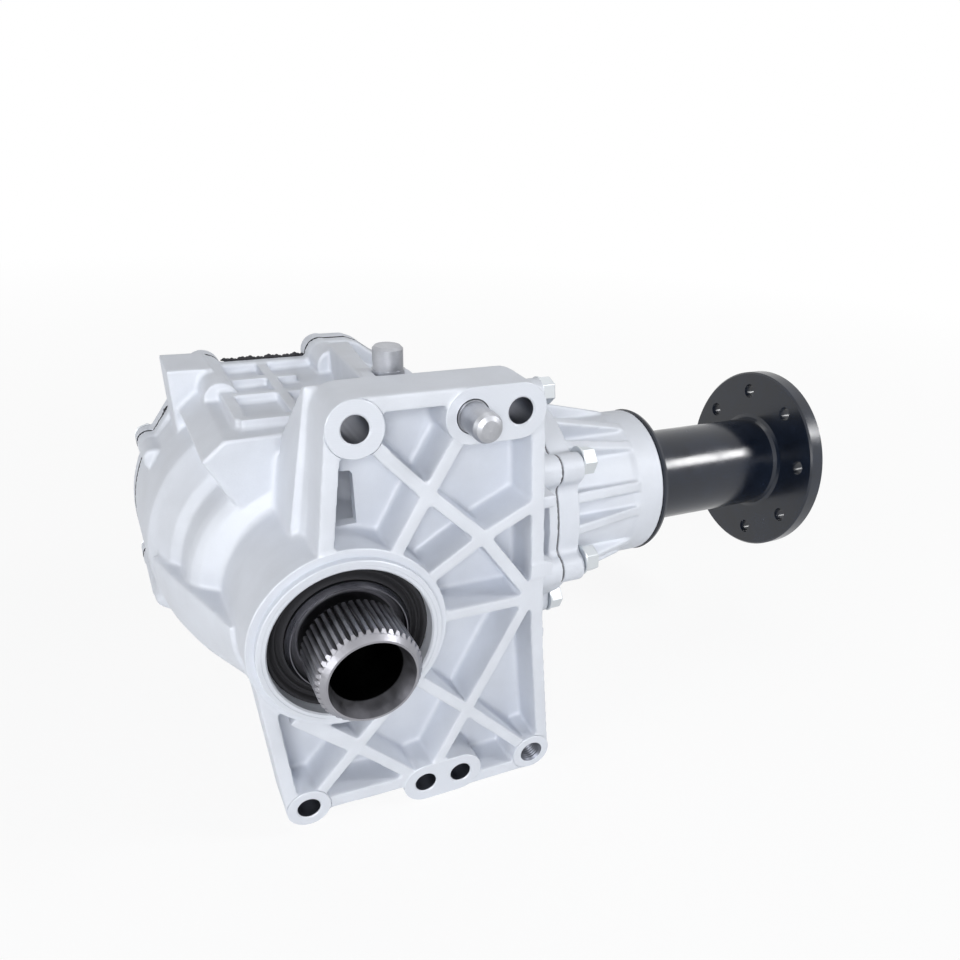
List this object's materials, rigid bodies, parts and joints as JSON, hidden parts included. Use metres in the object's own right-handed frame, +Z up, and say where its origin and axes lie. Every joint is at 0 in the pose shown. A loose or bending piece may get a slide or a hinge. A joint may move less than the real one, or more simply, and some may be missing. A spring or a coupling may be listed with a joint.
{
  "type": "right-angle transfer case",
  "caption": "Right-angle power transfer unit: ribbed mounting plate, bell casing with spiral bevel gears, hollow splined input shaft and long-tubed output flange.",
  "frame": {"origin": "where the input shaft's axis meets the plate's mounting face, at the root of the pilot ring", "axes": "+X along the pinion to the output flange, +Y from the mounting face into the case, +Z up as the unit is drawn in the picture"},
  "size_m": [0.388, 0.2159, 0.22],
  "materials": {
    "cast_aluminium": "shot-blasted die casting with machined faces",
    "black_rubber": "matt",
    "zinc_steel": "zinc plated",
    "gear_steel": "hardened and oiled",
    "black_enamel": "semi-gloss black coat",
    "ground_steel": "ground",
    "bearing_steel": "polished"
  },
  "bodies": {
    "case": {"main_case": "cast_aluminium", "rear_cover": "cast_aluminium", "case_sealant": "black_rubber", "cover_bolts": "zinc_steel", "pinion_housing": "cast_aluminium", "pinion_shim": "bearing_steel", "pinion_housing_bolts": "zinc_steel", "spigot_o_ring": "black_rubber", "input_seal": "black_rubber", "rear_seal": "black_rubber", "output_seal": "black_rubber", "front_bearing_cup": "bearing_steel", "rear_bearing_cup": "bearing_steel", "head_bearing_cup": "bearing_steel", "tail_bearing_cup": "bearing_steel", "mounting_dowel": "ground_steel", "locating_pin": "ground_steel", "fill_plug": "zinc_steel", "drain_plug": "zinc_steel"},
    "input": {"input_shaft": "gear_steel", "seal_sleeve": "ground_steel", "ring_gear": "gear_steel", "ring_gear_bolts": "zinc_steel", "front_bearing_cone": "bearing_steel", "rear_bearing_cone": "bearing_steel"},
    "output": {"drive_pinion": "gear_steel", "head_bearing_cone": "bearing_steel", "tail_bearing_cone": "bearing_steel", "crush_spacer": "bearing_steel", "output_flange": "black_enamel", "pinion_nut": "zinc_steel", "dust_shield": "black_enamel"},
    "front_cage": {"front_bearing_rollers": "bearing_steel"},
    "rear_cage": {"rear_bearing_rollers": "bearing_steel"},
    "head_cage": {"head_bearing_rollers": "bearing_steel"},
    "tail_cage": {"tail_bearing_rollers": "bearing_steel"}
  },
  "joints": [
    {"name": "input_spin", "type": "hinge", "parent": "case", "child": "input", "pos_m": [0, 0, 0], "axis": [0, 1, 0], "continuous": true},
    {"name": "output_spin", "type": "hinge", "parent": "case", "child": "output", "pos_m": [0, 0.106, 0], "axis": [1, 0, 0], "continuous": true},
    {"name": "front_cage_spin", "type": "hinge", "parent": "case", "child": "front_cage", "pos_m": [0, 0, 0], "axis": [0, 1, 0], "continuous": true},
    {"name": "rear_cage_spin", "type": "hinge", "parent": "case", "child": "rear_cage", "pos_m": [0, 0, 0], "axis": [0, 1, 0], "continuous": true},
    {"name": "head_cage_spin", "type": "hinge", "parent": "case", "child": "head_cage", "pos_m": [0, 0.106, 0], "axis": [1, 0, 0], "continuous": true},
    {"name": "tail_cage_spin", "type": "hinge", "parent": "case", "child": "tail_cage", "pos_m": [0, 0.106, 0], "axis": [1, 0, 0], "continuous": true}
  ],
  "couplings": [
    {"joint": "output_spin", "follows": "input_spin", "ratio": -2.4667},
    {"joint": "front_cage_spin", "follows": "input_spin", "ratio": 0.4607},
    {"joint": "rear_cage_spin", "follows": "input_spin", "ratio": 0.4607},
    {"joint": "head_cage_spin", "follows": "input_spin", "ratio": -1.0321},
    {"joint": "tail_cage_spin", "follows": "input_spin", "ratio": -1.0309}
  ]
}
